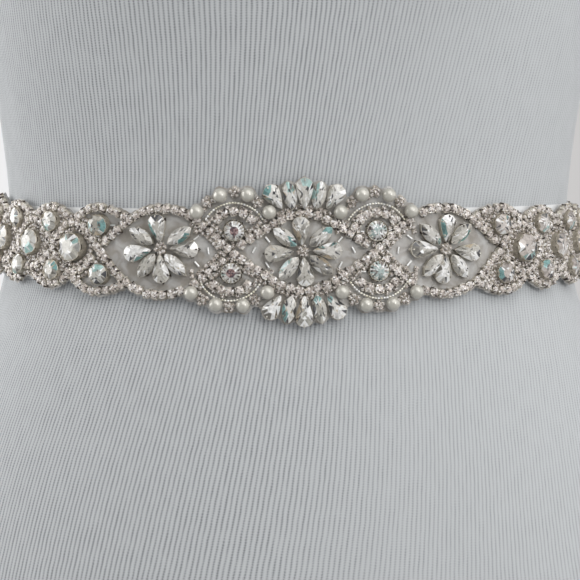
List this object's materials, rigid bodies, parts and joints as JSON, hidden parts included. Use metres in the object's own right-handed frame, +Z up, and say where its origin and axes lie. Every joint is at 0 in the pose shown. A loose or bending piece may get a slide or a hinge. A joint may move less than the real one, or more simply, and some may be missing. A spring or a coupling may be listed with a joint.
{
  "type": "bridal sash on a torso dress form",
  "caption": "Satin ribbon sash with a beaded crystal and pearl applique, tied at the back round the waist of a limbless, jersey-covered torso dress form.",
  "frame": {"origin": "centre of the form's flat base, on the surface that it stands on, under the form's upright axis", "axes": "+Z up, -Y out of the front of the form and sash, +X to the wearer's left"},
  "size_m": [0.3474, 0.2393, 0.73],
  "materials": {
    "jersey": "fine vertical-rib stretch jersey, matte, over the form",
    "cap": "plain matte",
    "satin": "double-faced satin, soft sheen",
    "beaded_trim": "crystals, rhinestones and pearls sewn on organza"
  },
  "bodies": {
    "root": {"form_body": "jersey", "form_neck_cap": "cap", "ribbon_band": "satin", "applique_center": "beaded_trim", "applique_flower_left": "beaded_trim", "applique_flower_right": "beaded_trim", "applique_end_left": "beaded_trim", "applique_end_right": "beaded_trim", "back_knot": "satin", "tail_left": "satin", "tail_right": "satin"}
  },
  "joints": []
}
